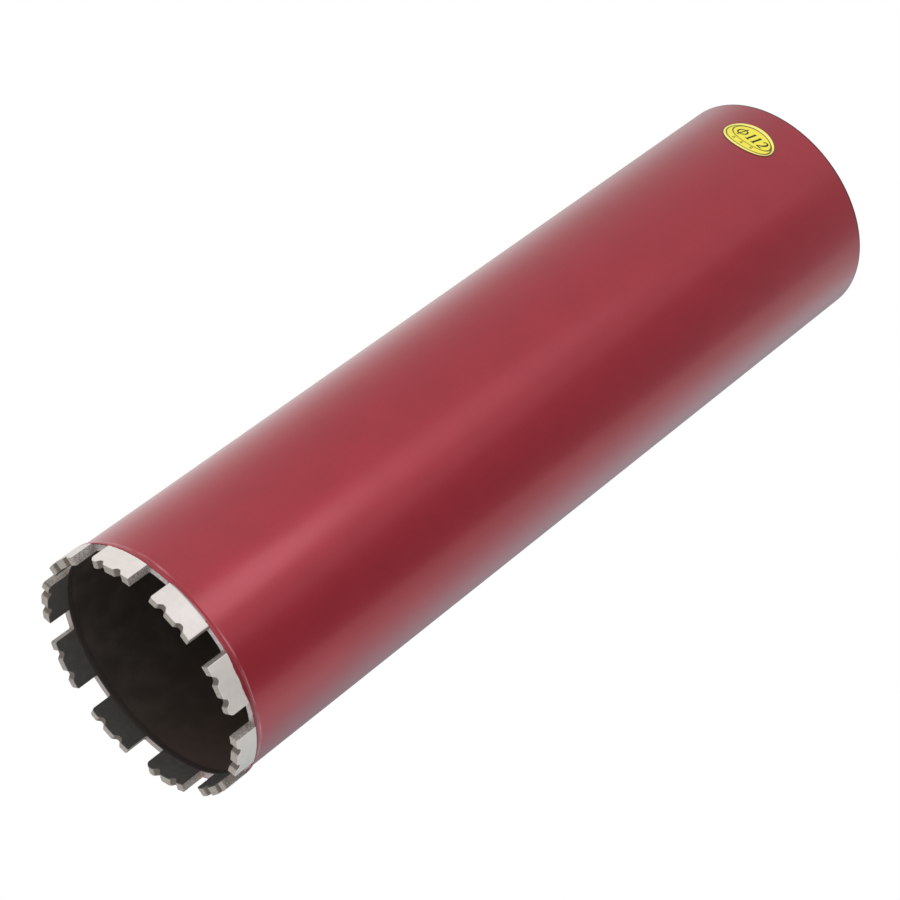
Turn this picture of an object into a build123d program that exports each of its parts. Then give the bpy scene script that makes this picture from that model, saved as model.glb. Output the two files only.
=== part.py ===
from build123d import *
from math import atan2, degrees
import os

# Diamond core bit: a painted steel barrel with ten diamond segments brazed on a ring at its
# cutting end, and a welded back plate with a threaded hub at its driven end.
#
# Frame: millimetres, Z along the barrel. The origin is on the axis in the plane of the
# segment tips, and +Z points from the cutting end to the hub. Angles run from +X towards +Y.

# ---- Driving dimensions -----------------------------------------------------------------

# Size of the hole that the bit cuts.
cut_d = 112.0

# Room that the cut leaves for the barrel, outside it and inside it.
hole_clearance = 1.0
core_clearance = 0.5

# Barrel: a straight tube.
barrel_wall = 2.5
barrel_length = 395.3
barrel_rim_chamfer = 0.4

# Segments: curved blocks, as thick as the barrel's wall and its two clearances.
segment_width = 22.6
segment_height = 10.3
notch_spacing = 10.0
notch_mouth = 4.6
notch_floor = 1.5
notch_depth = 1.7
notch_floor_radius = 0.45
notch_lip_radius = 0.5

# Corner radius of each segment's tip at its first and its last end, counted along +angle:
# the corners are dressed by hand, so no two segments are quite the same. There is one
# segment for each line, and they are evenly spaced.
corner_radii = [
    (0.3, 2.3),
    (0.4, 0.8),
    (0.3, 1.4),
    (0.3, 2.6),
    (0.5, 1.3),
    (0.6, 1.0),
    (0.3, 2.0),
    (0.9, 0.4),
    (2.9, 0.2),
    (0.9, 0.2),
]

# Crown ring: the steel ring that carries the segments. It is as wide as they are, less a
# small step on each side, and tapers down to the barrel.
segment_step = 0.1
ring_land = 0.9
ring_taper = 1.3
ring_edge_chamfer = 0.25

# Braze under each segment, with a small fillet against each of its ends.
braze_thickness = 0.2
braze_fillet = 0.7

# Back plate: a turned disc inside the barrel's driven end.
plate_thickness = 10.0
plate_recess = 4.0
plate_weld_leg = 3.0

# Hub: turned from hexagon bar, with a spigot through the plate and a round collar on it.
hub_across_flats = 36.0
hub_hexagon_length = 23.0
hub_face_d = 34.0
hub_face_angle = 30.0
hub_collar_d = 43.0
hub_collar_length = 5.0
hub_spigot_d = 28.0
hub_weld_leg = 3.6

# Thread: female M22, pitch 2.5. The bore is at the thread's minor diameter.
thread_d = 22.0
thread_pitch = 2.5
thread_mouth_allowance = 0.7

# Size label: a thin oval sticker near the driven end.
label_length = 28.6
label_width = 18.0
label_thickness = 0.2
label_below_rim = 22.1
label_angle = -58.65
label_tilt = -6.0

# ---- Sizes that follow from them --------------------------------------------------------

segment_outer_r = cut_d / 2
barrel_r = segment_outer_r - hole_clearance
bore_r = barrel_r - barrel_wall
segment_inner_r = bore_r - core_clearance
segment_pitch = 360 / len(corner_radii)

ring_outer_r = segment_outer_r - segment_step
ring_inner_r = segment_inner_r + segment_step

# A metric thread's bore is its diameter less 1.0825 pitches.
thread_bore_r = (thread_d - 1.0825 * thread_pitch) / 2
thread_mouth_r = (thread_d + thread_mouth_allowance) / 2

# Heights, from the tips up.
ring_z = segment_height + braze_thickness
barrel_z = ring_z + ring_land + ring_taper
rim_z = barrel_z + barrel_length
plate_top_z = rim_z - plate_recess
plate_bottom_z = plate_top_z - plate_thickness
hexagon_z = plate_top_z + hub_collar_length
hub_top_z = hexagon_z + hub_hexagon_length
label_z = rim_z - label_below_rim

os.makedirs("parts", exist_ok=True)


def radial_plane(angle, height=0.0):
    """Plane through the axis that looks outwards at an angle: its x runs round the barrel
    towards +angle, and its y runs up."""
    outwards = Vector(1, 0, 0).rotate(Axis.Z, angle)
    sideways = Vector(0, 1, 0).rotate(Axis.Z, angle)
    return Plane(origin=(0, 0, height), x_dir=sideways, z_dir=outwards)


# ---- Barrel -----------------------------------------------------------------------------
# Drawn steel tube, cut square and chamfered at its driven end.

with BuildPart() as barrel:
    with BuildSketch(Plane.XY.offset(barrel_z)):
        Circle(barrel_r)
        Circle(bore_r, mode=Mode.SUBTRACT)
    extrude(amount=barrel_length)
    chamfer(barrel.faces().sort_by(Axis.Z)[-1].edges(), barrel_rim_chamfer)
barrel.part.label = "barrel"
export_step(barrel.part, "parts/barrel.step")


# ---- Crown ring -------------------------------------------------------------------------
# Turned ring: a straight land under the segments, then a taper down to the barrel.

with BuildPart() as crown_ring:
    with BuildSketch(Plane.XZ):
        with BuildLine():
            Polyline(
                (ring_inner_r, ring_z + ring_edge_chamfer),
                (ring_inner_r + ring_edge_chamfer, ring_z),
                (ring_outer_r - ring_edge_chamfer, ring_z),
                (ring_outer_r, ring_z + ring_edge_chamfer),
                (ring_outer_r, ring_z + ring_land),
                (barrel_r, barrel_z),
                (ring_inner_r, barrel_z),
                close=True,
            )
        make_face()
    revolve(axis=Axis.Z)
crown_ring.part.label = "crown_ring"
export_step(crown_ring.part, "parts/crown_ring.step")


# ---- Segments ---------------------------------------------------------------------------
# Sintered diamond blocks. Each is one notched outline, carried straight through the wall
# and trimmed to the curve of the cut, so its ends and notches are parallel.

end_tooth = (segment_width - notch_spacing - notch_mouth) / 2
notch_flank = degrees(atan2(notch_depth, (notch_mouth - notch_floor) / 2))

for index, (first_radius, last_radius) in enumerate(corner_radii):
    with BuildPart() as segment:
        with BuildSketch(radial_plane(index * segment_pitch)) as outline:
            Rectangle(segment_width, segment_height, align=(Align.CENTER, Align.MIN))
            with Locations((-notch_spacing / 2, 0), (notch_spacing / 2, 0)):
                Trapezoid(
                    notch_mouth,
                    notch_depth,
                    notch_flank,
                    align=(Align.CENTER, Align.MIN),
                    mode=Mode.SUBTRACT,
                )
            fillet(outline.vertices().group_by(Axis.Y)[1], notch_floor_radius)
            fillet(outline.vertices().group_by(Axis.Y)[0].sort_by(Axis.X)[1:-1], notch_lip_radius)
            for end, radius in ((0, first_radius), (-1, last_radius)):
                corner = outline.vertices().group_by(Axis.Y)[0].sort_by(Axis.X)[end]
                fillet(corner, min(radius, 0.8 * end_tooth))
        extrude(amount=segment_outer_r)
        with BuildSketch(Plane.XY):
            Circle(segment_outer_r)
            Circle(segment_inner_r, mode=Mode.SUBTRACT)
        extrude(amount=segment_height, mode=Mode.INTERSECT)
    segment.part.label = f"segment_{index + 1:02d}"
    export_step(segment.part, f"parts/{segment.part.label}.step")


# ---- Braze ------------------------------------------------------------------------------
# The silver braze that holds each segment: a thin layer under it, with a small sloping
# fillet against each end. It covers the flat of the ring's face.

foot = segment_width / 2
fillet_foot = foot + braze_fillet
fillet_top_z = segment_height - braze_fillet

for index in range(len(corner_radii)):
    with BuildPart() as braze:
        with BuildSketch(radial_plane(index * segment_pitch)):
            with BuildLine():
                Polyline(
                    (-fillet_foot, ring_z),
                    (-fillet_foot, segment_height),
                    (-foot, fillet_top_z),
                    (-foot, segment_height),
                    (foot, segment_height),
                    (foot, fillet_top_z),
                    (fillet_foot, segment_height),
                    (fillet_foot, ring_z),
                    close=True,
                )
            make_face()
        extrude(amount=ring_outer_r)
        with BuildSketch(Plane.XY.offset(fillet_top_z)):
            Circle(ring_outer_r - ring_edge_chamfer)
            Circle(ring_inner_r + ring_edge_chamfer, mode=Mode.SUBTRACT)
        extrude(amount=ring_z - fillet_top_z, mode=Mode.INTERSECT)
    braze.part.label = f"braze_{index + 1:02d}"
    export_step(braze.part, f"parts/{braze.part.label}.step")


# ---- Back plate -------------------------------------------------------------------------
# Turned disc that closes the barrel, set in below the rim to leave room for its weld.

with BuildPart() as back_plate:
    with BuildSketch(Plane.XY.offset(plate_bottom_z)):
        Circle(bore_r)
        Circle(hub_spigot_d / 2, mode=Mode.SUBTRACT)
    extrude(amount=plate_thickness)
back_plate.part.label = "back_plate"
export_step(back_plate.part, "parts/back_plate.step")


# ---- Plate weld -------------------------------------------------------------------------
# Fillet weld all round the corner between the plate and the barrel's bore.

with BuildPart() as plate_weld:
    with BuildSketch(Plane.XZ):
        with BuildLine():
            Polyline(
                (bore_r, plate_top_z),
                (bore_r, plate_top_z + plate_weld_leg),
                (bore_r - plate_weld_leg, plate_top_z),
                close=True,
            )
        make_face()
    revolve(axis=Axis.Z)
plate_weld.part.label = "plate_weld"
export_step(plate_weld.part, "parts/plate_weld.step")


# ---- Threaded hub -----------------------------------------------------------------------
# Hexagon with its corners turned off at the driven face, a round collar to weld to, and a
# spigot through the plate. The bore runs right through, to let the cooling water in.

with BuildPart() as threaded_hub:
    with BuildSketch(Plane.XY.offset(hexagon_z)):
        RegularPolygon(hub_across_flats / 2, 6, major_radius=False)
    extrude(amount=hub_hexagon_length)
    with BuildSketch(Plane.XY.offset(hub_top_z)):
        Circle(hub_face_d / 2)
    extrude(amount=-hub_hexagon_length, taper=hub_face_angle - 90, mode=Mode.INTERSECT)
    with BuildSketch(Plane.XY.offset(plate_top_z)):
        Circle(hub_collar_d / 2)
    extrude(amount=hub_collar_length)
    with BuildSketch(Plane.XY.offset(plate_bottom_z)):
        Circle(hub_spigot_d / 2)
    extrude(amount=plate_thickness)
    with BuildSketch(Plane.XZ):
        with BuildLine():
            Polyline(
                (0, plate_bottom_z),
                (thread_bore_r, plate_bottom_z),
                (thread_bore_r, hub_top_z - (thread_mouth_r - thread_bore_r)),
                (thread_mouth_r, hub_top_z),
                (0, hub_top_z),
                close=True,
            )
        make_face()
    revolve(axis=Axis.Z, mode=Mode.SUBTRACT)
threaded_hub.part.label = "threaded_hub"
export_step(threaded_hub.part, "parts/threaded_hub.step")


# ---- Hub weld ---------------------------------------------------------------------------
# Fillet weld all round the hub's collar.

collar_r = hub_collar_d / 2

with BuildPart() as hub_weld:
    with BuildSketch(Plane.XZ):
        with BuildLine():
            Polyline(
                (collar_r, plate_top_z),
                (collar_r, plate_top_z + hub_weld_leg),
                (collar_r + hub_weld_leg, plate_top_z),
                close=True,
            )
        make_face()
    revolve(axis=Axis.Z)
hub_weld.part.label = "hub_weld"
export_step(hub_weld.part, "parts/hub_weld.step")


# ---- Size label -------------------------------------------------------------------------
# Oval film stuck on the barrel, a little askew.

with BuildPart() as size_label:
    with BuildSketch(radial_plane(label_angle, label_z)):
        Ellipse(label_length / 2, label_width / 2, rotation=label_tilt)
    extrude(amount=barrel_r + label_thickness)
    with BuildSketch(Plane.XY.offset(label_z - label_length)):
        Circle(barrel_r + label_thickness)
        Circle(barrel_r, mode=Mode.SUBTRACT)
    extrude(amount=2 * label_length, mode=Mode.INTERSECT)
size_label.part.label = "size_label"
export_step(size_label.part, "parts/size_label.step")
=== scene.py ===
import math

import bmesh
import bpy
import numpy as np
from mathutils import Matrix, Vector


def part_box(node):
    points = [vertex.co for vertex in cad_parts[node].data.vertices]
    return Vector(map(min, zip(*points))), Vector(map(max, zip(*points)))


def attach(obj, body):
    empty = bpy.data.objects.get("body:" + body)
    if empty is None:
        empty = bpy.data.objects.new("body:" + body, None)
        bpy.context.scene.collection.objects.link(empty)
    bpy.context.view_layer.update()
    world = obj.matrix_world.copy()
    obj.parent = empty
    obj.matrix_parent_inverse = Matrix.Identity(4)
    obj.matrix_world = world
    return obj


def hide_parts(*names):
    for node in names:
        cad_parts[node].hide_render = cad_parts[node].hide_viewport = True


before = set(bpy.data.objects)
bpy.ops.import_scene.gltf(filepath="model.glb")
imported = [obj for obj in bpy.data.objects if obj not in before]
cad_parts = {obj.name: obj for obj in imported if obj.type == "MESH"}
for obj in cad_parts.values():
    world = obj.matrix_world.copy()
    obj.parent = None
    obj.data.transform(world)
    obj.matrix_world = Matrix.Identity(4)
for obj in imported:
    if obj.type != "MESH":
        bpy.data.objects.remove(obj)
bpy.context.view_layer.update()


# ---- Barrel -------------------------------------------------------------------------------
# The barrel is a thin steel tube, cut square, with the edges of its rim broken. Its outside
# is sprayed with a fine metallic red that dries to a satin, and its bore keeps a brown-black
# scale. It butts on the crown ring and is brazed to it.

MM = 0.001
BARREL_WALL = 2.5
RIM_ROUND = 0.15
AROUND = 360
MEET = 0.0004
CREASE_ANGLE = 38.0


def turned_size(node):
    """Outer radius, lowest and highest z of a turned CAD node, in millimetres."""
    low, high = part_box(node)
    return high.x / MM, low.z / MM, high.z / MM


def corner(centre_r, centre_z, radius, start, end, steps=5):
    """Points (r, z) on an arc: centre + radius (cos t, sin t), t from start to end in degrees."""
    t = np.radians(np.linspace(start, end, steps))
    return np.stack([centre_r + radius * np.cos(t), centre_z + radius * np.sin(t)], -1)


def revolve(profile):
    """A turned surface: the point at turn a and profile place (r, z) is (r cos a, r sin a, z).

    The grid that comes back is shaped (turns, profile points, 3)."""
    a = np.linspace(0, 2 * np.pi, AROUND, endpoint=False)[:, None]
    r, z = profile[:, 0], profile[:, 1]
    return np.stack([r * np.cos(a), r * np.sin(a), z + 0 * a], -1)


def skin(name, grids, round_columns=True):
    """One mesh of closed surfaces, each over a grid of points in millimetres.

    Point (i, j) of a grid makes a quad with its neighbours at i + 1 and j + 1. Rows j close
    on themselves, and columns i do where round_columns is true; otherwise the end columns
    are drawn flat or to a point, so that they close. Points that meet are welded. Where the
    volume, the sum of a . (b x c) / 6 over the triangles, is negative, the quads turn round."""
    corners, faces, count = [], [], 0
    for grid in grids:
        columns, rows = grid.shape[:2]
        i = np.arange(columns if round_columns else columns - 1)[:, None]
        j = np.arange(rows)[None, :]
        ahead, beside = (i + 1) % columns, (j + 1) % rows
        quads = np.stack(
            [i * rows + j, ahead * rows + j, ahead * rows + beside, i * rows + beside], -1
        ).reshape(-1, 4)
        place = grid.reshape(-1, 3) * MM
        a, b, c, d = (place[quads[:, k]] for k in range(4))
        volume = np.sum(a * np.cross(b, c)) + np.sum(a * np.cross(c, d))
        corners.append(place)
        faces.append((quads if volume > 0 else quads[:, ::-1]) + count)
        count += len(place)
    corners, faces = np.concatenate(corners), np.concatenate(faces)
    mesh = bpy.data.meshes.new(name)
    mesh.vertices.add(len(corners))
    mesh.vertices.foreach_set("co", corners.ravel())
    mesh.loops.add(faces.size)
    mesh.loops.foreach_set("vertex_index", faces.ravel())
    mesh.polygons.add(len(faces))
    mesh.polygons.foreach_set("loop_start", np.arange(0, faces.size, 4))
    mesh.update(calc_edges=True)
    welded = bmesh.new()
    welded.from_mesh(mesh)
    bmesh.ops.remove_doubles(welded, verts=welded.verts, dist=MEET * MM)
    welded.to_mesh(mesh)
    welded.free()
    mesh.shade_smooth()
    mesh.set_sharp_from_angle(angle=math.radians(CREASE_ANGLE))
    return mesh


def piece(mesh, material):
    """The object of a finished mesh, at the origin, in its material."""
    mesh.materials.append(material)
    made = bpy.data.objects.new(mesh.name, mesh)
    bpy.context.scene.collection.objects.link(made)
    return made


class Wire:
    """An output of a shader node. Python's signs between wires and numbers add Math nodes."""

    def __init__(self, socket):
        self.socket = socket

    def node(self, kind, settings, inputs):
        """A new node's first output: its settings go in first, and then the value or the wire
        of each socket."""
        tree = self.socket.id_data
        made = tree.nodes.new(kind)
        for name, value in settings.items():
            setattr(made, name, value)
        for name, value in inputs.items():
            if isinstance(value, Wire):
                tree.links.new(value.socket, made.inputs[name])
            else:
                made.inputs[name].default_value = value
        return Wire(made.outputs[0])

    def output(self, number):
        """Another output of the same node."""
        return Wire(self.socket.node.outputs[number])

    def maths(self, operation, first, second=0.0):
        return self.node("ShaderNodeMath", {"operation": operation}, {0: first, 1: second})

    def __add__(self, other):
        return self.maths("ADD", self, other)

    def __sub__(self, other):
        return self.maths("SUBTRACT", self, other)

    def __rsub__(self, other):
        return self.maths("SUBTRACT", other, self)

    def __mul__(self, other):
        return self.maths("MULTIPLY", self, other)

    def __truediv__(self, other):
        return self.maths("DIVIDE", self, other)

    def __pow__(self, other):
        return self.maths("POWER", self, other)

    __radd__ = __add__
    __rmul__ = __mul__

    def rise(self, start, end):
        """0 where the wire is below start, 1 above end, and a smooth step between them."""
        settings = {"interpolation_type": "SMOOTHSTEP"}
        inputs = {"Value": self, "From Min": start, "From Max": end}
        return self.node("ShaderNodeMapRange", settings, inputs)

    def between(self, at_zero, at_one):
        """A colour: at_zero where the wire is 0, at_one where it is 1, mixed between."""
        mixed = self.node("ShaderNodeMix", {"data_type": "RGBA"}, {0: self, 6: at_zero, 7: at_one})
        return mixed.output(2)

    def cloud(self, size, detail=2.0):
        """Noise from 0 to 1 at this place, with lumps about size millimetres across."""
        inputs = {"Vector": self, "Scale": 1 / (size * MM), "Detail": detail}
        return self.node("ShaderNodeTexNoise", {}, inputs)

    def lines(self, scale):
        """Noise that changes with the wire alone, as the lines that a cutting tool leaves."""
        inputs = {"W": self, "Scale": scale}
        return self.node("ShaderNodeTexNoise", {"noise_dimensions": "1D"}, inputs)

    def axes(self):
        """The x, y and z of a place, in millimetres."""
        x = self.node("ShaderNodeSeparateXYZ", {}, {0: self})
        return x * (1 / MM), x.output(1) * (1 / MM), x.output(2) * (1 / MM)

    def near(self, spot, start, end):
        """1 where this place lies within start millimetres of a spot, and 0 beyond end."""
        metres = tuple(part * MM for part in spot)
        apart = self.node("ShaderNodeVectorMath", {"operation": "DISTANCE"}, {0: self, 1: metres})
        return 1 - (apart.output(1) * (1 / MM)).rise(start, end)

    def bump(self, height):
        """A normal from the wire as relief, its 0 to 1 being height millimetres."""
        inputs = {"Height": self, "Distance": height * MM, "Strength": 1.0}
        return self.node("ShaderNodeBump", {}, inputs)


def way_out(x, y):
    """How far a place lies from the bit's axis."""
    return (x * x + y * y) ** 0.5


def colour(shade):
    """A shader colour from the six digits that a screen shows it with."""
    seen = np.array([int(shade[k : k + 2], 16) for k in (1, 3, 5)]) / 255
    plain = np.where(seen <= 0.04045, seen / 12.92, ((seen + 0.055) / 1.055) ** 2.4)
    return (*plain.tolist(), 1.0)


def new_finish(name):
    """A new material, and the place on the object as a wire."""
    material = bpy.data.materials.new(name)
    material.use_nodes = True
    place = material.node_tree.nodes.new("ShaderNodeTexCoord").outputs["Object"]
    return material, Wire(place)


def set_finish(material, values):
    """Puts numbers straight on the Principled shader's sockets, and links wires to them."""
    shader = material.node_tree.nodes["Principled BSDF"]
    for name, value in values.items():
        if isinstance(value, Wire):
            material.node_tree.links.new(value.socket, shader.inputs[name])
        else:
            shader.inputs[name].default_value = value
    return material


PAINT_RED = colour("#a12032")
PAINT_DEEP = colour("#881926")
PAINT_HIGHLIGHT_PINK = colour("#dc9aa2")
BORE_SCALE = colour("#3f3732")
BORE_SOOT = colour("#302925")
BORE_LIT_BROWN = colour("#4b3d34")
RIM_PAINTED_SHADE = colour("#3a1219")

barrel_r, barrel_low, barrel_high = turned_size("barrel")
bore_r = barrel_r - BARREL_WALL

barrel_profile = np.concatenate(
    [
        [(barrel_r, barrel_low)],
        corner(barrel_r - RIM_ROUND, barrel_high - RIM_ROUND, RIM_ROUND, 0, 90),
        corner(bore_r + RIM_ROUND, barrel_high - RIM_ROUND, RIM_ROUND, 90, 180),
        [(bore_r, barrel_low)],
    ]
)


def red_paint(place):
    """The sprayed red as colour and roughness: bright flakes in a faint cloud."""
    cloud = place.cloud(14.0, 3.0)
    flake = place.cloud(0.35, 1.0).rise(0.45, 0.75)
    return (cloud * 0.5 + flake * 0.5).between(PAINT_DEEP, PAINT_RED), 0.36 + flake * 0.06


barrel_finish, place = new_finish("barrel_finish")
x, y, z = place.axes()
radius = way_out(x, y)
painted = radius.rise(bore_r + 0.5, bore_r + 1.1)
red, red_rough = red_paint(place)
orange_peel = place.cloud(1.6, 2.0).bump(0.012)
# Painted highlight: a pale pink line runs round the barrel just above the ring's shoulder. It
# wanders a little, is broken up by a cloud, and is left out round one spot.
drift = place.cloud(16.0, 1.0) * 1.6
at_shoulder = (z + drift).rise(barrel_low + 0.7, barrel_low + 1.2)
at_shoulder = at_shoulder * (1 - (z + drift).rise(barrel_low + 1.3, barrel_low + 2.1))
highlight_gap = place.near((45.0, -32.0, barrel_low), 8.0, 24.0)
shoulder_highlight = at_shoulder * place.cloud(11.0, 2.0).rise(0.3, 0.65) * (1 - highlight_gap)
red = (shoulder_highlight * 0.5).between(red, PAINT_HIGHLIGHT_PINK)
scale = place.cloud(9.0, 4.0).rise(0.35, 0.7).between(BORE_SOOT, BORE_SCALE)
# Painted light: the scale is drawn lighter and browner towards one side of the bore.
scale = ((x * 0.6 + y).rise(-30.0, 60.0) * 0.7).between(scale, BORE_LIT_BROWN)
set_finish(
    barrel_finish,
    {
        # Painted shade: a dark line is drawn round the outside just below the rim.
        "Base Color": z.rise(barrel_high - 0.9, barrel_high - 0.6).between(
            painted.between(scale, red), RIM_PAINTED_SHADE
        ),
        "Metallic": painted * 0.5,
        "Roughness": painted * red_rough + (1 - painted) * 0.62,
        "Normal": orange_peel,
        "Coat Weight": painted * 0.6,
        "Coat Roughness": 0.22,
        "IOR": 1.45,
    },
)

barrel = piece(skin("barrel_tube", [revolve(barrel_profile)]), barrel_finish)
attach(barrel, "root")
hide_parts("barrel")


# ---- Crown ring ---------------------------------------------------------------------------
# A turned steel ring, a little wider than the barrel, carries the segments. Its outside and
# its taper down to the barrel are painted with it, up to a wandering edge; the end face
# between the segments is wiped bare again and shows a fine turned grain.

RING_WALL = 3.8
RING_LAND = 0.9
RING_ROUND = 0.25
RING_SHOULDER = 0.4
RING_COVE = 0.6
PAINT_LAP = 0.5
RING_BARE = colour("#cdc3c2")
RING_DULL_AND_SHADE = colour("#968d8b")
RING_EDGE_AND_SHADE_RED = colour("#571219")
RING_INSIDE = colour("#48413e")

ring_r, ring_low, ring_high = turned_size("crown_ring")
ring_bore_r = ring_r - RING_WALL

ring_profile = np.concatenate(
    [
        corner(ring_r - RING_ROUND, ring_low + RING_ROUND, RING_ROUND, -90, 0),
        corner(ring_r - RING_SHOULDER, ring_low + RING_LAND, RING_SHOULDER, 0, 35, 4),
        corner(barrel_r + RING_COVE, ring_high + 0.1, RING_COVE, 215, 180, 4),
        [(barrel_r, ring_high), (ring_bore_r, ring_high)],
        corner(ring_bore_r + RING_ROUND, ring_low + RING_ROUND, RING_ROUND, 180, 270),
    ]
)


def paint_line(place):
    """The height that the paint comes down to outside: uneven, ground off it in one spot, and
    run down past it in another."""
    uneven = (place.cloud(8.0, 2.0) - 0.5) * 0.9 + (place.cloud(1.8, 1.0) - 0.5) * 0.5
    ground_off = place.near((45.3, -32.9, ring_low), 4.0, 13.0)
    run_down = place.near((55.9, 2.0, ring_low), 4.0, 14.0)
    return uneven + ground_off - run_down * 0.8 + (ring_low - 0.1)


ring_finish, place = new_finish("ring_finish")
x, y, z = place.axes()
radius = way_out(x, y)
wander = (place.cloud(2.2, 3.0) - 0.5) * 1.3
outward = (radius + wander).rise(ring_r - PAINT_LAP - 0.15, ring_r - PAINT_LAP + 0.1)
above = z - paint_line(place)
outward = outward * (above + (1 - radius.rise(ring_r - 0.3, ring_r - 0.1)) * 3.0).rise(-0.1, 0.1)
behind = z.rise(ring_low + 0.2, ring_low + 0.5) * radius.rise(barrel_r - 1.2, barrel_r - 0.6)
painted = outward.maths("MAXIMUM", outward, behind)
inside = 1 - radius.rise(ring_bore_r + 0.25, ring_bore_r + 0.45)
red, red_rough = red_paint(place)
turned_grain = radius.lines(9.0)
bright = (turned_grain * 0.6 + place.cloud(1.1, 3.0) * 0.4).rise(0.35, 0.65)
steel = bright.between(RING_DULL_AND_SHADE, RING_BARE)
worn_line = painted * (1 - painted) * 4.0
# Painted shade: the bare steel is drawn duller towards one side of the ring.
steel = ((y * 0.42 - x * 0.91).rise(0.0, 40.0) * 0.7).between(steel, RING_DULL_AND_SHADE)
steel = inside.between(steel, RING_INSIDE)
# Painted shade: the paint is drawn darker over a wide patch on one side of the ring.
red = (place.near((44.0, 35.0, ring_low), 26.0, 48.0) * 0.5).between(red, RING_EDGE_AND_SHADE_RED)
set_finish(
    ring_finish,
    {
        "Base Color": worn_line.between(painted.between(steel, red), RING_EDGE_AND_SHADE_RED),
        "Metallic": painted * 0.5 + (1 - painted) * 0.6,
        "Roughness": painted * red_rough + (1 - painted) * 0.5,
        "Normal": (turned_grain * 0.5 + place.cloud(0.8) * 0.5).bump(0.03),
        "Coat Weight": painted * 0.6,
        "Coat Roughness": 0.22,
        "IOR": 1.45,
    },
)

ring = piece(skin("crown_ring_turned", [revolve(ring_profile)]), ring_finish)
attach(ring, "root")
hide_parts("crown_ring")


# ---- Segments -----------------------------------------------------------------------------
# Ten blocks of metal powder and diamond grit, pressed and sintered to the curve of the cut.
# Two notches across each tip help it start. The outer faces are ground bright to size, the
# corners are rounded unevenly, and the inner faces stay as they left the mould.

SEGMENTS = 10
NOTCH_SPACING = 10.0
NOTCH_MOUTH = 4.6
NOTCH_FLOOR = 1.5
NOTCH_DEPTH = 1.7
NOTCH_SOFT = 0.09
EDGE_ROUND = 0.22
COLUMN_STEP = 0.2
GROUND_UNEVEN = 0.07
TIP_GRIT = 0.06
TIP_GRIT_DEPTH = 0.35
CORNER_RADII = [
    (0.3, 2.3),
    (0.4, 0.8),
    (0.3, 1.4),
    (0.3, 2.6),
    (0.5, 1.3),
    (0.6, 1.0),
    (0.3, 2.0),
    (0.9, 0.4),
    (2.9, 0.2),
    (0.9, 0.2),
]
SINTER_GROUND = colour("#d2ccc6")
SINTER_WALL = colour("#a39c95")
SINTER_TIP = colour("#b0a8a0")
SINTER_MOULD = colour("#54524e")
SINTER_SPREAD = 0.12
NOTCH_SHADE_BROWN = colour("#5f554d")
HEAT_COPPER = colour("#ab7b62")
HEAT_SEGMENT = 3
HEAT_REACH = 4.0

segment_low, segment_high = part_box("segment_01")
segment_r = segment_high.x / MM
segment_half = segment_high.y / MM
segment_top = segment_high.z / MM
segment_bore_r = math.hypot(segment_low.x, segment_high.y) / MM


def soft_rise(amount):
    """The larger of amount and 0, its kink rounded: (amount + sqrt(amount^2 + soft^2)) / 2."""
    return (amount + np.sqrt(amount**2 + NOTCH_SOFT**2)) / 2


def tip_line(along, radii):
    """Height of the tip over a place along the segment.

    Each notch is a flat-floored trough: depth times how far the place lies within its mouth,
    from 0 at the lip to 1 at the floor, both kinks rounded. Each end has a round corner,
    R - sqrt(R^2 - d^2), d being how far the place lies past the corner's centre."""
    height = np.zeros_like(along)
    for centre in (-NOTCH_SPACING / 2, NOTCH_SPACING / 2):
        inward = (NOTCH_MOUTH / 2 - np.abs(along - centre)) / ((NOTCH_MOUTH - NOTCH_FLOOR) / 2)
        height = height + NOTCH_DEPTH * (soft_rise(inward) - soft_rise(inward - 1))
    for end, radius in zip((-1, 1), radii):
        past = np.clip(end * along - (segment_half - radius), 0, radius)
        height = np.maximum(height, radius - np.sqrt(radius**2 - past**2))
    return height


def waves(along, up, luck, size=3.0):
    """Gentle unevenness from -1 to 1: a mean of seven sine waves with chance ways and phases."""
    way = luck.uniform(0, 2 * np.pi, 7)
    phase = luck.uniform(0, 2 * np.pi, 7)
    pitch = 2 * np.pi / (size * luck.uniform(0.6, 2.2, 7))
    a, u = along[..., None], up[..., None]
    return np.sin((a * np.cos(way) + u * np.sin(way)) * pitch + phase).mean(-1) * 1.6


def set_round(grid, number):
    """A grid turned about the bit's axis, from the first segment's place to another's."""
    a = 2 * np.pi * number / SEGMENTS
    turned = [[math.cos(a), -math.sin(a), 0], [math.sin(a), math.cos(a), 0], [0, 0, 1]]
    return grid @ np.array(turned).T


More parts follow.
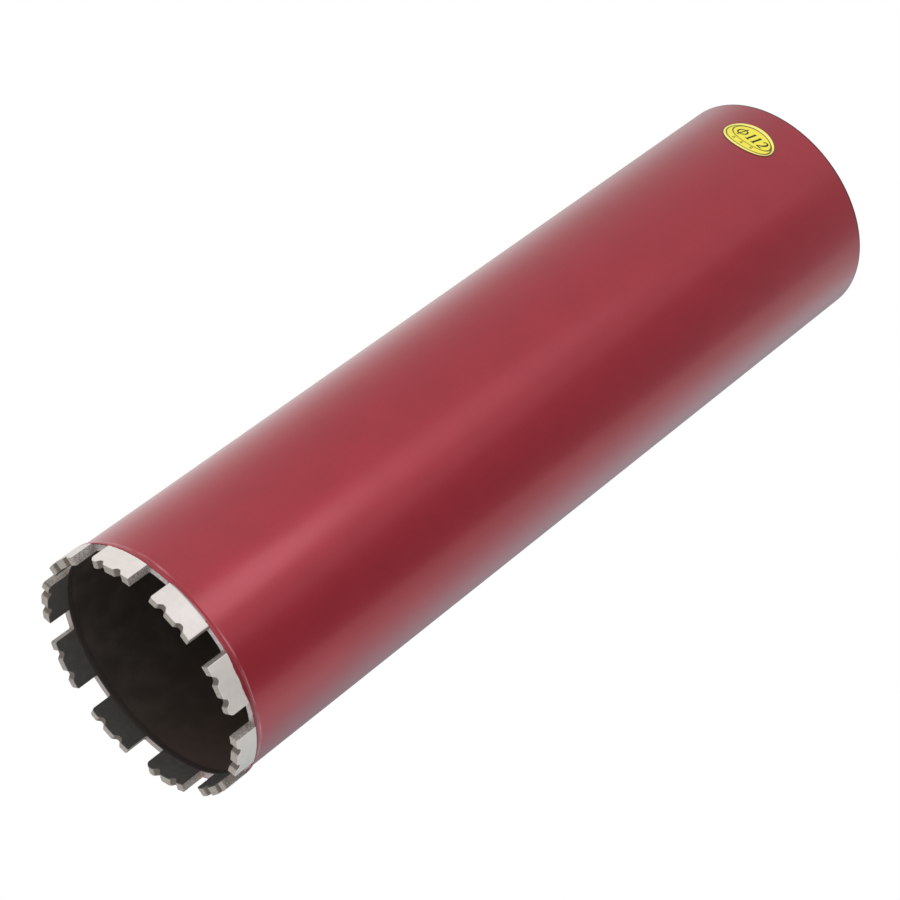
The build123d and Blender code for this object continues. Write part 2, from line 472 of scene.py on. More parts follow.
def segment_grid(number):
    """A segment as loops round its section, one loop for each column along it.

    A loop runs down the outer face, round the edge, in across the tip, round the inner edge,
    up the inner face and back across the foot. At both ends the loops draw in round the
    upright edges by R - sqrt(R^2 - d^2), and the last one folds flat on the middle radius."""
    luck = np.random.default_rng(40 + number)
    fine = np.linspace(-segment_half, segment_half, 4001)
    line = tip_line(fine, CORNER_RADII[number])
    travel = np.concatenate([[0], np.cumsum(np.hypot(np.diff(fine), np.diff(line)))])
    along = np.interp(np.linspace(0, travel[-1], int(travel[-1] / COLUMN_STEP)), travel, fine)
    near_end = segment_half - EDGE_ROUND
    turn = np.radians(np.linspace(90, 0, 5))
    along = np.concatenate(
        [
            [-segment_half],
            -near_end - EDGE_ROUND * np.sin(turn),
            along[np.abs(along) < near_end - 0.05],
            near_end + EDGE_ROUND * np.sin(turn[::-1]),
            [segment_half],
        ]
    )
    past_end = np.clip(np.abs(along) - near_end, 0, EDGE_ROUND)
    draw_in = EDGE_ROUND - np.sqrt(EDGE_ROUND**2 - past_end**2)
    tip = tip_line(along, CORNER_RADII[number])[:, None]
    side = np.linspace(0, 1, 22)[None, :]
    bend = np.radians(np.linspace(0, 90, 5))[None, :]
    across = np.linspace(0, 1, 9)[None, 1:-1]
    outer, inner = segment_r, segment_bore_r
    middle = (outer + inner) / 2
    face_z = segment_top + (tip + EDGE_ROUND - segment_top) * side
    bend_in, bend_down = EDGE_ROUND * (1 - np.cos(bend)), EDGE_ROUND * (1 - np.sin(bend))
    tip_r = outer - EDGE_ROUND + (inner - outer + 2 * EDGE_ROUND) * across
    radius = [outer + 0 * face_z, (outer - bend_in + 0 * tip)[:, 1:], tip_r + 0 * tip]
    radius += [(inner + bend_down + 0 * tip)[:, :-1], inner + 0 * face_z]
    radius = np.concatenate(radius, axis=1)
    up = [face_z, (tip + bend_down)[:, 1:], tip + 0 * tip_r]
    up += [(tip + bend_in)[:, :-1], face_z[:, ::-1]]
    up = np.concatenate(up, axis=1)
    radius = radius + np.where(radius >= middle, -1, 1) * draw_in[:, None]
    spread = along[:, None] + 0 * up
    worn = 0.5 + 0.5 * waves(spread, up, luck)
    near_outer = np.clip((radius - middle - 0.5) / 1.2, 0, 1)
    radius = radius - GROUND_UNEVEN * np.clip(worn, 0, 1) * near_outer
    on_tip = np.exp(-((up - tip) / TIP_GRIT_DEPTH) ** 2)
    gritty = 0.5 + 0.5 * waves(spread, radius * 1.5, luck, 1.6)
    up = up + TIP_GRIT * on_tip * np.clip(gritty, 0, 1)
    radius[[0, -1]] = middle
    out = np.sqrt(np.maximum(radius**2 - spread**2, 0))
    return set_round(np.stack([out, spread, up], -1), number)


heat_turn = 2 * math.pi * HEAT_SEGMENT / SEGMENTS - segment_half / segment_r
heat_spot = (segment_r * math.cos(heat_turn), segment_r * math.sin(heat_turn), segment_top)


def heat_stain(place):
    """1 at the foot that the torch overheated, fading out raggedly over the reach of the heat."""
    ragged = place.cloud(1.2, 3.0).rise(0.3, 0.6)
    return place.near(heat_spot, 0.8, HEAT_REACH) * (ragged * 0.6 + 0.4)


def dimmed(shade, share):
    """A shader colour with its light brought to a share."""
    return (*[part * share for part in shade[:3]], 1.0)


def segment_finish(name, luck):
    """Ground metal outside, as moulded inside, grit on the walls, and painted shade in the
    notches.

    All the segments share four shades, and the light of each varies a little by chance."""
    material, place = new_finish(name)
    x, y, z = place.axes()
    radius = way_out(x, y)
    normal = place.node("ShaderNodeNewGeometry", {}, {}).output(1)
    down = normal.node("ShaderNodeSeparateXYZ", {}, {0: normal}).output(2) * -1.0
    outside = radius.rise(segment_r - 0.32, segment_r - 0.14)
    inside = 1 - radius.rise(segment_bore_r + 0.12, segment_bore_r + 0.3)
    grit = place.cloud(0.5, 2.0)
    streak = place.cloud(3.0, 4.0)
    speck = grit.rise(0.36, 0.64)
    shares = luck.uniform(1 - SINTER_SPREAD, 1 + SINTER_SPREAD, 4)
    sinter = (SINTER_GROUND, SINTER_WALL, SINTER_TIP, SINTER_MOULD)
    ground_colour, wall_colour, tip_colour, mould_colour = map(dimmed, sinter, shares)
    wall = speck.between(dimmed(wall_colour, 0.45), wall_colour)
    tip = speck.between(dimmed(tip_colour, 0.6), tip_colour)
    wall = (down.rise(0.6, 0.9) * (1 - z.rise(0.3, 0.8))).between(wall, tip)
    # Painted shade: faces that turn down above the tip, in the notches and on the rounded corners,
    # are drawn dark brown.
    notch_shade = down.rise(0.25, 0.6) * z.rise(0.25, 0.7)
    wall = (notch_shade * 0.8).between(wall, NOTCH_SHADE_BROWN)
    mottle = (streak * 0.6 + grit * 0.4).rise(0.3, 0.7)
    ground = mottle.between(dimmed(ground_colour, 0.93), ground_colour)
    mould = mottle.between(dimmed(mould_colour, 0.75), mould_colour)
    shade = inside.between(outside.between(wall, ground), mould)
    painted = outside * (z - paint_line(place)).rise(-0.12, 0.12)
    shade = painted.between(shade, PAINT_DEEP)
    return set_finish(
        material,
        {
            "Base Color": (heat_stain(place) * 0.7).between(shade, HEAT_COPPER),
            "Metallic": 0.55 + outside * 0.05 - inside * 0.35,
            "Roughness": 0.5 + grit * 0.12 - outside * 0.08,
            "Normal": (grit * 0.6 + place.cloud(0.16, 1.0) * 0.4).bump(0.09),
        },
    )


for number in range(SEGMENTS):
    digits = f"{number + 1:02d}"
    metal = segment_finish("segment_metal_" + digits, np.random.default_rng(90 + number))
    segment = piece(skin("cutting_segment_" + digits, [segment_grid(number)], False), metal)
    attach(segment, "root")
    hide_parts("segment_" + digits)


# ---- Brazes -------------------------------------------------------------------------------
# A foil of silver braze is melted under each segment. It squeezes out as a small uneven
# fillet against both ends of the foot, grey, with copper showing where the heat drew it.

BRAZE_THICK = 0.2
BRAZE_FILLET = 0.7
BRAZE_SIDE = 0.35
BRAZE_SLOPE = 0.55
BRAZE_BULGE = 0.12
BRAZE_SILVER = colour("#8d857f")
BRAZE_BROWN = colour("#6f625b")
BRAZE_PINK = colour("#a07a76")

braze_top = segment_top + BRAZE_THICK


def braze_grid(number):
    """A braze as loops across its section, one for each column along the foot.

    Under the foot the lower side is flat. Past each end it is a hollow fillet that drops below
    the top by a mean of two lines, weighted 1 to the slope's share: a quarter circle,
    R - sqrt(R^2 - (R - d)^2), and a straight slope, R - d, where R is the fillet's size and d
    the way past the end. The drop varies by chance across the ring."""
    luck = np.random.default_rng(70 + number)
    past = np.linspace(0, 1, 9)
    reach = segment_half + BRAZE_FILLET * past
    under = np.linspace(-segment_half, segment_half, 25)[1:-1]
    along = np.concatenate([-reach[::-1], under, reach])
    across = np.linspace(-1, 1, 13)
    spread, width = np.meshgrid(along, across, indexing="ij")
    ragged = 0.86 + 0.14 * waves(spread * 0 + np.sign(spread) * 9, width * 3, luck, 2.5)
    beyond = np.clip(np.abs(spread) - segment_half, 0, BRAZE_FILLET)
    short_of = BRAZE_FILLET - beyond
    hollow = BRAZE_FILLET - np.sqrt(np.maximum(BRAZE_FILLET**2 - short_of**2, 0))
    hollow = (hollow + BRAZE_SLOPE * short_of) / (1 + BRAZE_SLOPE) * ragged
    drop = np.where(np.abs(spread) < segment_half, BRAZE_THICK, np.maximum(hollow, 0.0))
    drop[[0, -1]] = 0
    middle = (segment_r + segment_bore_r) / 2
    half = (segment_r - segment_bore_r) / 2 - BRAZE_SIDE
    bulge = BRAZE_BULGE * waves(spread, width * 0 + 1, luck, 2.0) * np.abs(width) ** 4
    radius = middle + (half - np.abs(bulge)) * width
    out = np.sqrt(radius**2 - spread**2)
    low = np.stack([out, spread, braze_top - drop], -1)
    high = np.stack([out, spread, braze_top + 0 * drop], -1)[:, ::-1]
    return set_round(np.concatenate([low, high], 1), number)


braze_finish, place = new_finish("braze_finish")
mottle = place.cloud(1.0, 3.0).rise(0.4, 0.62)
pinkish = place.cloud(12.0, 2.0).rise(0.5, 0.62)
dull = mottle.between(BRAZE_SILVER, pinkish.between(BRAZE_BROWN, BRAZE_PINK))
set_finish(
    braze_finish,
    {
        "Base Color": heat_stain(place).between(dull, HEAT_COPPER),
        "Metallic": 0.6,
        "Roughness": 0.42 + mottle * 0.15,
        "Normal": place.cloud(0.5, 2.0).bump(0.06),
    },
)
for number in range(SEGMENTS):
    digits = f"{number + 1:02d}"
    braze = piece(skin("braze_fillet_" + digits, [braze_grid(number)], False), braze_finish)
    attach(braze, "root")
    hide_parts("braze_" + digits)


# ---- Back plate ---------------------------------------------------------------------------
# A thick turned steel disc closes the driven end, a little way inside the rim. It is pressed
# in to a line, welded all round and sprayed with the barrel; the lathe's rings still show.

SPIGOT_R = 14.0
PLATE_ROUND = 0.3

plate_r, plate_low, plate_high = turned_size("back_plate")
plate_profile = np.concatenate(
    [
        corner(plate_r - PLATE_ROUND, plate_low + PLATE_ROUND, PLATE_ROUND, -90, 0, 4),
        corner(plate_r - PLATE_ROUND, plate_high - PLATE_ROUND, PLATE_ROUND, 0, 90, 4),
        [(SPIGOT_R, plate_high), (SPIGOT_R, plate_low)],
    ]
)

plate_finish, place = new_finish("plate_finish")
x, y, z = place.axes()
radius = way_out(x, y)
lathe = radius.lines(3.0)
painted = z.rise(plate_low + 2.0, plate_low + 3.0)
red, red_rough = red_paint(place)
set_finish(
    plate_finish,
    {
        "Base Color": painted.between(place.cloud(9.0, 4.0).between(BORE_SOOT, BORE_SCALE), red),
        "Metallic": painted * 0.5,
        "Roughness": painted * red_rough + (1 - painted) * 0.6,
        "Normal": (lathe * 0.8 + place.cloud(1.6) * 0.2).bump(0.08),
        "Coat Weight": painted * 0.5,
        "Coat Roughness": 0.25,
        "IOR": 1.45,
    },
)

plate = piece(skin("back_plate_disc", [revolve(plate_profile)]), plate_finish)
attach(plate, "root")
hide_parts("back_plate")


# ---- Threaded hub -------------------------------------------------------------------------
# The hub is turned from steel bar: a spigot through the plate, a collar that stands on it,
# and a milled hexagon for a spanner. Its coarse through thread takes the motor's spindle.
# It is left bare, with a film of oil.

HUB_STEPS = 240
HUB_FLATS = 36.0
HUB_FACE_R = 17.0
HUB_FACE_ANGLE = 30.0
HUB_CORNER_ANGLE = 29.2
HUB_COLLAR = 5.0
HUB_EDGE = 0.35
THREAD_R = 11.0
THREAD_PITCH = 2.5
THREAD_MOUTH = 0.35
ROWS_A_TURN = 16
HUB_BRIGHT = colour("#b9b6b2")
HUB_GREY = colour("#908d8a")
HUB_OIL = colour("#6f6a63")

hub_r, hub_low, hub_high = turned_size("threaded_hub")
hub_step = hub_low + plate_high - plate_low
thread_depth = THREAD_PITCH * math.sqrt(3) / 2 * 5 / 8
hub_turn = np.linspace(0, 2 * np.pi, HUB_STEPS, endpoint=False)[:, None]


def hexagon_r(turn):
    """Radius of a hexagon with a corner at turn 0, its corners broken to a round.

    It is half the flats / cos(angle off a flat's middle), held at the corner angle's radius."""
    off = turn % (np.pi / 3) - np.pi / 6
    broken_r = HUB_FLATS / 2 / math.cos(math.radians(HUB_CORNER_ANGLE))
    return np.minimum(HUB_FLATS / 2 / np.cos(off), broken_r)


def thread_r(turn, z):
    """Radius of the threaded bore: minor radius + depth * how deep the flank is at that phase.

    The phase z / pitch - turn / 2 pi climbs one pitch a turn, right-handed. A quarter of the
    pitch is crest and an eighth is root, with straight flanks between. The mouth is a cone."""
    phase = (z / THREAD_PITCH - turn / (2 * np.pi)) % 1.0
    off_root = np.abs(phase - 0.5) * 2
    deep = np.clip((0.75 - off_root) / (0.75 - 0.125), 0, 1)
    groove = THREAD_R - thread_depth * (1 - deep)
    return np.maximum(groove, THREAD_R + THREAD_MOUTH - (hub_high - z))


foot = corner(hub_r - HUB_EDGE, hub_step + HUB_COLLAR - HUB_EDGE, HUB_EDGE, 0, 90, 4)
lower = np.concatenate([[(SPIGOT_R, hub_low), (SPIGOT_R, hub_step), (hub_r, hub_step)], foot])
hexagon_sides_z = np.linspace(hub_step + HUB_COLLAR, hub_high - 3, 4)
hexagon_face_z = np.linspace(hub_high - 2.8, hub_high, 18)
hexagon_z = np.concatenate([hexagon_sides_z, hexagon_face_z])[None, :]
face_cone = HUB_FACE_R + (hub_high - hexagon_z) / math.tan(math.radians(HUB_FACE_ANGLE))
hexagon_side = np.minimum(hexagon_r(hub_turn), face_cone)
thread_rows = int((hub_high - hub_low) / THREAD_PITCH * ROWS_A_TURN)
thread_z = np.linspace(hub_high, hub_low, thread_rows)[None, :]
hub_radius = np.concatenate(
    [lower[:, 0] + 0 * hub_turn, hexagon_side, thread_r(hub_turn, thread_z)], axis=1
)
hub_z = np.concatenate(
    [lower[:, 1] + 0 * hub_turn, hexagon_z + 0 * hub_turn, thread_z + 0 * hub_turn], axis=1
)
hub_grid = np.stack([hub_radius * np.cos(hub_turn), hub_radius * np.sin(hub_turn), hub_z], -1)

hub_finish, place = new_finish("hub_finish")
x, y, z = place.axes()
radius = way_out(x, y)
face_grain, side_grain = radius.lines(5.0), z.lines(4.0)
normal = place.node("ShaderNodeNewGeometry", {}, {}).output(1)
level = normal.node("ShaderNodeSeparateXYZ", {}, {0: normal}).output(2).rise(0.3, 0.9)
grain = face_grain * level + side_grain * (1 - level)
oil = place.cloud(8.0, 3.0).rise(0.5, 0.68)
in_thread = 1 - radius.rise(THREAD_R - 0.4, THREAD_R + 0.5)
steel = grain.rise(0.35, 0.65).between(HUB_GREY, HUB_BRIGHT)
set_finish(
    hub_finish,
    {
        # The threaded bore is also drawn darker, part way to the same dark colour.
        "Base Color": (oil * 0.5 + in_thread * 0.4).between(steel, HUB_OIL),
        "Metallic": 0.9,
        "Roughness": 0.34 + grain * 0.14 - oil * 0.1,
        "Normal": grain.bump(0.03),
    },
)

hub = piece(skin("threaded_hub_turned", [hub_grid]), hub_finish)
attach(hub, "root")
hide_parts("threaded_hub")


# ---- Welds --------------------------------------------------------------------------------
# Two fillet welds run all round, one in the corner of the plate and the barrel, and one in
# the corner of the plate and the hub's collar. Each puddle froze as a crescent on the last,
# and the paint went over both.

WELD_STEPS = 720
WELD_RIPPLE = 1.5
WELD_BULGE = 0.17


def weld_grid(wall_r, toe_r, low, high, luck):
    """A fillet bead round the axis: legs on the plate and on the wall, and a rippled face.

    At place t from toe to wall the face stands off the straight line between them by
    leg * (bulge + swell / 2) * sin(pi t) * (3/4 + 1/4 cos(phase)), the swell being two slow
    waves round the bead. The phase counts puddles round it, and drifts by two waves more. It
    is drawn back in the middle by 2 (1 - (2 t - 1)^2), which bends them to crescents."""
    turn = np.linspace(0, 2 * np.pi, WELD_STEPS, endpoint=False)[:, None]
    t = np.linspace(0, 1, 15)[None, :]
    puddles = round(2 * np.pi * wall_r / WELD_RIPPLE)
    drift = 0.8 * np.sin(3 * turn + luck.uniform(0, 6))
    drift = drift + 0.6 * np.sin(7 * turn + luck.uniform(0, 6))
    phase = puddles * turn + drift - 2.0 * (1 - (2 * t - 1) ** 2)
    leg = high - low
    swell = 0.06 * np.sin(5 * turn + luck.uniform(0, 6))
    swell = swell + 0.05 * np.sin(11 * turn + luck.uniform(0, 6))
    stand = leg * (WELD_BULGE + swell * 0.5) * np.sin(np.pi * t) * (0.75 + 0.25 * np.cos(phase))
    away = math.copysign(math.sqrt(0.5), toe_r - wall_r)
    radius = toe_r + (wall_r - toe_r) * t + away * stand
    z = low + leg * t + math.sqrt(0.5) * stand
    radius = np.concatenate([radius, wall_r + 0 * turn], 1)
    z = np.concatenate([z, low + 0 * turn], 1)
    return np.stack([radius * np.cos(turn), radius * np.sin(turn), z], -1)


weld_finish, place = new_finish("weld_finish")
red, red_rough = red_paint(place)
set_finish(
    weld_finish,
    {
        "Base Color": place.cloud(2.5, 3.0).rise(0.62, 0.7).between(red, PAINT_DEEP),
        "Metallic": 0.5,
        "Roughness": red_rough + 0.04,
        "Normal": place.cloud(0.7, 3.0).bump(0.06),
        "Coat Weight": 0.5,
        "Coat Roughness": 0.25,
        "IOR": 1.45,
    },
)
luck = np.random.default_rng(5)
for node, wall_r in (("plate_weld", plate_r), ("hub_weld", hub_r)):
    bead_r, bead_low, bead_high = turned_size(node)
    leg = bead_high - bead_low
    toe_r = wall_r - leg if node == "plate_weld" else bead_r
    bead_grid = weld_grid(wall_r, toe_r, bead_low, bead_high, luck)
    bead = piece(skin(node + "_bead", [bead_grid]), weld_finish)
    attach(bead, "root")
    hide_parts(node)


# ---- Size label ---------------------------------------------------------------------------
# An oval sticker of yellow film, pressed on by hand near the driven end. It is printed with
# a cream border, two olive rings that run together on one side, and the cut's size. The
# number is dark ink in an italic letter with feet; the small marks below it are dashes.

LABEL_LONG = 28.6
LABEL_SHORT = 18.0
LABEL_THICK = 0.2
LABEL_TURN = -58.65
LABEL_TILT = -6.0
RING_OUTER = (0.28, -0.27, 12.65, 7.01)
RING_INNER = (0.67, 1.33, 11.0, 5.25)
RING_LINE = 0.3
INK_THICK = 0.03
INK_LEAN = 0.2
NUMBER_FOOT = -1.6
NUMBER_TALL = 5.3
SIGN_AT = -5.4
ONES_AT = (-0.1, 3.3)
TWO_AT = 7.0
STROKE_STEPS = 9
DASH_PLACES = [(-4.9, -4.7), (0.2, -5.2), (5.6, -4.6)]
DASH_ROWS = [(0.42, 0.5), (-0.42, 0.75)]
LABEL_CREAM = colour("#d6cd64")
LABEL_YELLOW = colour("#cec433")
LABEL_OLIVE = colour("#564e12")
LABEL_EDGE_SHADOW = colour("#40300f")
LABEL_INK = colour("#211d08")

label_low, label_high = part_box("size_label")
label_z = (label_low.z + label_high.z) / 2 / MM


def on_label(long, short, height):
    """Points on the label from places along its long and short axes, and height off the barrel.

    The axes are turned by the tilt t to (u, v) = (l cos t - s sin t, l sin t + s cos t), and
    then bent round the barrel: angle = label's angle + u / barrel radius, z = label's z + v."""
    t = math.radians(LABEL_TILT)
    u = long * math.cos(t) - short * math.sin(t)
    v = long * math.sin(t) + short * math.cos(t)
    turn = math.radians(LABEL_TURN) + u / barrel_r
    radius = barrel_r + height
    return np.stack([radius * np.cos(turn), radius * np.sin(turn), label_z + v + 0 * radius], -1)


turn = np.linspace(0, 2 * np.pi, 144, endpoint=False)[:, None]
out = np.array([*np.linspace(0, 0.985, 26), 1.0, 1.0, 0.0])[None, :]
lift = np.array([*[LABEL_THICK] * 26, LABEL_THICK - 0.08, 0.0, 0.0])[None, :]
label_mesh = skin(
    "size_label_film",
    [on_label(LABEL_LONG / 2 * out * np.cos(turn), LABEL_SHORT / 2 * out * np.sin(turn), lift)],
)
points = np.zeros(len(label_mesh.vertices) * 3)
label_mesh.vertices.foreach_get("co", points)
points = points.reshape(-1, 3) / MM
t = math.radians(LABEL_TILT)
u = (np.arctan2(points[:, 1], points[:, 0]) - math.radians(LABEL_TURN)) * barrel_r
v = points[:, 2] - label_z
flat = np.stack([u * math.cos(t) + v * math.sin(t), v * math.cos(t) - u * math.sin(t)], -1)
used = np.zeros(len(label_mesh.loops), int)
label_mesh.loops.foreach_get("vertex_index", used)
label_map = label_mesh.uv_layers.new(name="label_map")
label_map.uv.foreach_set("vector", (flat[used] / LABEL_LONG + 0.5).ravel())

label_finish, place = new_finish("label_finish")
spot = place.node("ShaderNodeUVMap", {"uv_map": "label_map"}, {})
across = spot.node("ShaderNodeSeparateXYZ", {}, {0: spot})
long, short = (across - 0.5) * LABEL_LONG, (across.output(1) - 0.5) * LABEL_LONG


def from_oval(centre_long, centre_short, half_long, half_short):
    """Signed way to an oval in millimetres: (its norm - 1) times the mean of its half axes."""
    a, b = (long - centre_long) / half_long, (short - centre_short) / half_short
    return ((a * a + b * b) ** 0.5 - 1.0) * ((half_long + half_short) / 2)


outer_way, inner_way = from_oval(*RING_OUTER), from_oval(*RING_INNER)
edge_way = from_oval(0.0, 0.0, LABEL_LONG / 2, LABEL_SHORT / 2)
fill = outer_way.rise(-0.2, 0.1).between(LABEL_YELLOW, LABEL_CREAM)
for way in (outer_way, inner_way):
    on_line = 1 - way.maths("ABSOLUTE", way).rise(RING_LINE - 0.12, RING_LINE + 0.12)
    fill = on_line.between(fill, LABEL_OLIVE)
set_finish(
    label_finish,
    {
        # Painted shadow: a dark line is drawn just inside the sticker's edge.
        "Base Color": edge_way.rise(-0.62, -0.3).between(fill, LABEL_EDGE_SHADOW),
        "Roughness": 0.38 + place.cloud(3.0) * 0.1,
        "Normal": place.cloud(5.0, 1.0).bump(0.02),
    },
)

label = piece(label_mesh, label_finish)
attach(label, "root")
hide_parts("size_label")


def ink_line(path, half_width, shift, lean=INK_LEAN):
    """A stroke of ink: a flat ribbon along a path, leaning, as loops of four points.

    Each loop is path +- half width along the path's normal, at the film's top and one ink
    thickness up. The end loops draw to a point on the path, which closes the ribbon."""
    path = np.asarray(path, float)
    along = np.gradient(path, axis=0)
    along /= np.linalg.norm(along, axis=1, keepdims=True)
    normal = np.stack([-along[:, 1], along[:, 0]], -1)
    half = np.broadcast_to(half_width, len(path))[:, None] * normal
    sides = np.stack([path + half, path - half, path - half, path + half], 1)
    first, last = path[:1, None] + 0 * sides[:1], path[-1:, None] + 0 * sides[-1:]
    sides = np.concatenate([first, sides, last])
    lift = np.array([INK_THICK, INK_THICK, -0.02, -0.02]) + LABEL_THICK + 0 * sides[..., 0]
    long, short = sides[..., 0], sides[..., 1]
    return on_label(shift + long + lean * short, NUMBER_FOOT + short, lift)


def straight(start, end):
    """Points on the straight line between two places."""
    t = np.linspace(0, 1, STROKE_STEPS)[:, None]
    return np.array(start) * (1 - t) + np.array(end) * t


def bow(centre, half_wide, half_tall, start, end, steps):
    """Points on part of an oval: centre + (w cos t, h sin t), t from start to end in degrees."""
    t = np.radians(np.linspace(start, end, steps))
    return np.stack([centre[0] + half_wide * np.cos(t), centre[1] + half_tall * np.sin(t)], -1)


tall = NUMBER_TALL
zero = bow((0, tall / 2), 2.4, 1.75, 0, 360, 60)
strokes = [
    ink_line(zero, 0.24 + 0.2 * np.cos(np.linspace(0, 2 * np.pi, 60)) ** 2, SIGN_AT),
    ink_line(straight((-0.3, -0.35), (0.3, tall + 0.35)), 0.36, SIGN_AT),
]
flag = straight((0.1, tall - 0.15), (-0.85, tall - 0.75))
for shift in ONES_AT:
    strokes += [
        ink_line(straight((0, 0), (0, tall)), 0.56, shift),
        ink_line(straight((-1.0, 0.14), (1.0, 0.14)), 0.2, shift),
        ink_line(flag, np.linspace(0.26, 0.14, STROKE_STEPS), shift),
    ]
neck = np.linspace(0, 1, 20)[:, None]
slide = (1 - neck) ** 2 * [1.05, 3.1] + 2 * neck * (1 - neck) * [0.7, 1.7] + neck**2 * [-1.2, 0.3]
two = np.concatenate([bow((0, tall - 1.35), 1.18, 1.2, 165, -20, 30), slide])
strokes += [
    ink_line(two, np.interp(np.arange(50), [0, 8, 30, 49], [0.5, 0.24, 0.56, 0.24]), TWO_AT),
    ink_line(straight((-1.25, 0.27), (1.4, 0.27)), 0.27, TWO_AT),
    ink_line(straight((1.35, 0.2), (1.6, 1.0)), 0.12, TWO_AT),
]
number_ink = set_finish(new_finish("number_ink")[0], {"Base Color": LABEL_INK, "Roughness": 0.45})
number = piece(skin("size_number", strokes, False), number_ink)
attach(number, "root")

dashes = []
for centre_long, centre_short in DASH_PLACES:
    for row, half_long in DASH_ROWS:
        height = centre_short + row - NUMBER_FOOT
        dash_path = straight((-half_long, height), (half_long, height))
        dashes.append(ink_line(dash_path, 0.22, centre_long, 0.0))
dash_ink = set_finish(new_finish("dash_ink")[0], {"Base Color": LABEL_OLIVE, "Roughness": 0.45})
dash = piece(skin("size_dashes", dashes, False), dash_ink)
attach(dash, "root")


# ---- Studio -------------------------------------------------------------------------------
# The bit stands crown down on a white table that fades into a white room. The table shows,
# with the shadow on it, only from above, so that the crown can be looked at from below it.
# Three cards, which only the reflections see, shade the gloss of the paint.

TABLE_R = 1.6
TABLE_DROP = 0.0004
TABLE_STEPS = 96
TABLE_FADE = (0.35, 0.95)
TABLE_GLOW = 0.12
TABLE_WHITE = colour("#f0f0f0")
WHITE = (1.0, 1.0, 1.0, 1.0)
BLACK = (0.0, 0.0, 0.0, 1.0)

table_mesh = bpy.data.meshes.new("table_top")
turn = np.linspace(0, 2 * np.pi, TABLE_STEPS, endpoint=False)
rim = np.stack([TABLE_R * np.cos(turn), TABLE_R * np.sin(turn), 0 * turn - TABLE_DROP], -1)
table_mesh.from_pydata(rim.tolist(), [], [list(range(TABLE_STEPS))])
table_finish, place = new_finish("table_finish")
x, y, _ = place.axes()
tree = table_finish.node_tree
under = place.node("ShaderNodeNewGeometry", {}, {}).output(6)
faded = way_out(x, y).rise(*(TABLE_R / MM * part for part in TABLE_FADE))
gone = under.maths("MAXIMUM", under, faded)
clear = gone.node("ShaderNodeBsdfTransparent", {}, {})
plain = gone.node("ShaderNodeBsdfDiffuse", {}, {"Color": TABLE_WHITE})
glow = gone.node("ShaderNodeEmission", {}, {"Color": WHITE, "Strength": TABLE_GLOW})
lit = gone.node("ShaderNodeAddShader", {}, {0: plain, 1: glow})
shown = gone.node("ShaderNodeMixShader", {}, {0: gone, 1: lit, 2: clear})
tree.links.new(shown.socket, tree.nodes["Material Output"].inputs["Surface"])
table = piece(table_mesh, table_finish)
table.visible_diffuse = table.visible_glossy = table.visible_transmission = False
table.visible_shadow = False

room = bpy.data.worlds.new("white_room")
room.use_nodes = True
bpy.context.scene.world = room
backdrop = room.node_tree.nodes["Background"]
backdrop.inputs["Color"].default_value = WHITE
backdrop.inputs["Strength"].default_value = 1.0

# Each lamp has its place, what it faces, its size and its power, and whether it lights the
# object and whether it shows in the gloss.
LAMPS = [
    ("overhead_softbox", (0.80, -1.08, 0.45), (0, 0, 0.2), (1.8, 1.8), 9.8, True, False),
    ("front_softbox", (0.42, -0.30, 0.25), (0, 0, 0.03), (0.22, 0.22), 0.21, True, True),
    ("sheen_strip", (0.42, -0.30, 0.45), (0, 0, 0.03), (0.2, 0.4), 0.09, False, True),
]
LAMP_TINT = (1.0, 0.97, 1.06)


def look_along(eye, forward, roll=0.0):
    """The matrix of something at eye that looks along forward, turned by roll degrees."""
    side = forward.cross(Vector((0, 0, 1))).normalized()
    upright = side.cross(forward)
    c, s = math.cos(math.radians(roll)), math.sin(math.radians(roll))
    axes = Matrix((side * c - upright * s, upright * c + side * s, -forward)).transposed()
    return Matrix.Translation(eye) @ axes.to_4x4()


for name, place, aim, (wide, tall), power, in_diffuse, in_gloss in LAMPS:
    place, aim = Vector(place), Vector(aim)
    lamp = bpy.data.lights.new(name, "AREA")
    lamp.shape, lamp.size, lamp.size_y, lamp.energy = "ELLIPSE", wide, tall, power
    lamp.color = LAMP_TINT
    holder = bpy.data.objects.new(name, lamp)
    holder.matrix_world = look_along(place, (aim - place).normalized())
    holder.visible_camera = False
    holder.visible_diffuse, holder.visible_glossy = in_diffuse, in_gloss
    bpy.context.scene.collection.objects.link(holder)


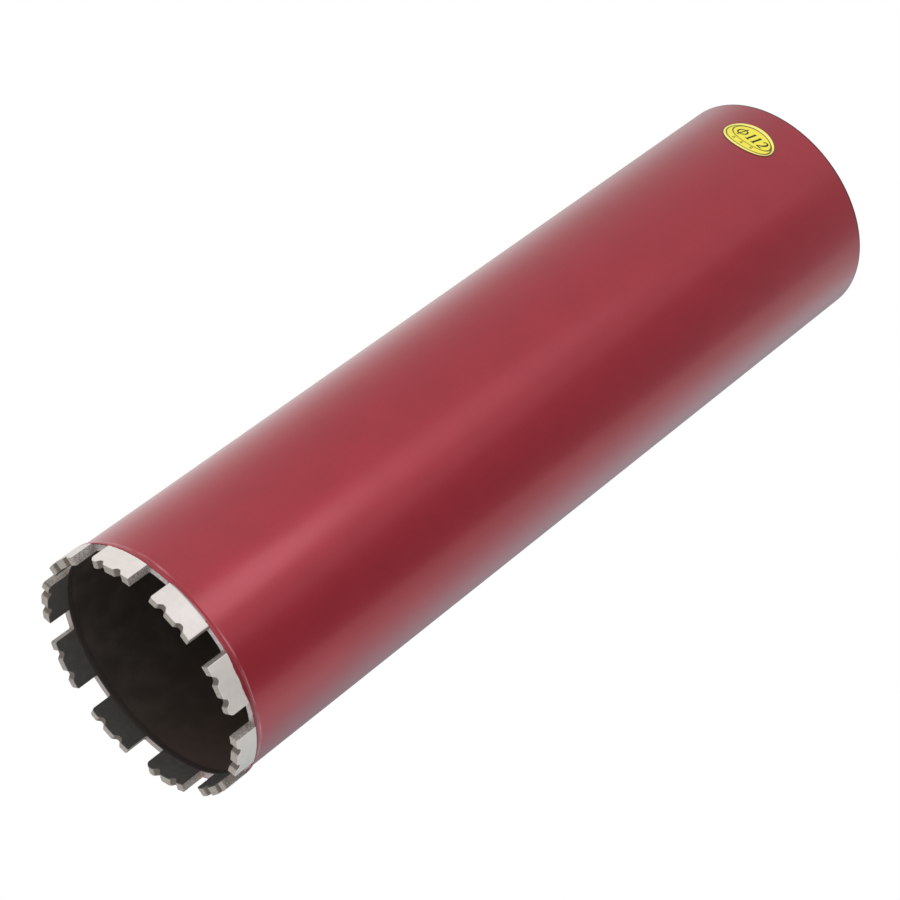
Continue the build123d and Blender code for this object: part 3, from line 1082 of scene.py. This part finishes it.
# Each card has its place, what it faces and its size, its glow at the foot and at the top, the
# least share of that glow that shows, and further shares that come in from one x to another.
CARDS = [
    (
        "dark_card",
        (0.70, 0.30, 0.56),
        (0, 0, 0),
        (0.7, 1.1),
        [(0.09, 0.09, 0.09), (0.26, 0.26, 0.27)],
        1.0,
        [],
    ),
    (
        "pale_card",
        (-0.586, 1.074, 0.70),
        (0, 0, 0),
        (1.9, 1.6),
        [(0.41, 0.53, 0.59), (0.68, 0.80, 0.86)],
        0.5,
        [(0.5, -1000.0, -100.0), (0.5, -1150.0, -1350.0)],
    ),
    (
        "ceiling",
        (0.7, 0.0, 1.3),
        (0.7, 0.001, 0.3),
        (5.4, 4.2),
        [(1, 1, 1), (1, 1, 1)],
        0.68,
        [(0.32, -500.0, -1900.0)],
    ),
]
CARD_FOOT = 300.0
CARD_TOP = 950.0

for name, place, aim, (wide, tall), glows, least, shares in CARDS:
    place, aim = Vector(place), Vector(aim)
    w, h = wide / 2, tall / 2
    sheet = bpy.data.meshes.new(name)
    sheet.from_pydata([(-w, -h, 0), (w, -h, 0), (w, h, 0), (-w, h, 0)], [], [(0, 1, 2, 3)])
    sheet.transform(look_along(place, (aim - place).normalized()))
    card_finish, spot = new_finish(name + "_finish")
    x, _, z = spot.axes()
    glow = z.rise(CARD_FOOT, CARD_TOP).between(*((*shade, 1.0) for shade in glows))
    share = sum((x.rise(start, end) * part for part, start, end in shares), x * 0.0 + least)
    glow = share.between(BLACK, glow)
    light = spot.node("ShaderNodeEmission", {}, {"Color": glow, "Strength": 1.0})
    tree = card_finish.node_tree
    tree.links.new(light.socket, tree.nodes["Material Output"].inputs["Surface"])
    card = piece(sheet, card_finish)
    card.visible_camera = card.visible_diffuse = False
    card.visible_transmission = card.visible_shadow = False


# ---- Camera -------------------------------------------------------------------------------
# A long lens looks up from beyond the crown, rolled so that the barrel lies across the frame.

EYE = Vector((0.891899, -0.409476, -0.463449))
AIM = Vector((0.000742, 0.001608, 0.182455))
ROLL = -53.19
LENS = 109.207

lens = bpy.data.cameras.new("long_lens")
lens.lens, lens.sensor_width = LENS, 36.0
lens.clip_start, lens.clip_end = 0.05, 20.0
camera = bpy.data.objects.new("long_lens", lens)
camera.matrix_world = look_along(EYE, (AIM - EYE).normalized(), ROLL)
bpy.context.scene.collection.objects.link(camera)
bpy.context.scene.camera = camera

bpy.context.scene.view_settings.view_transform = "Standard"
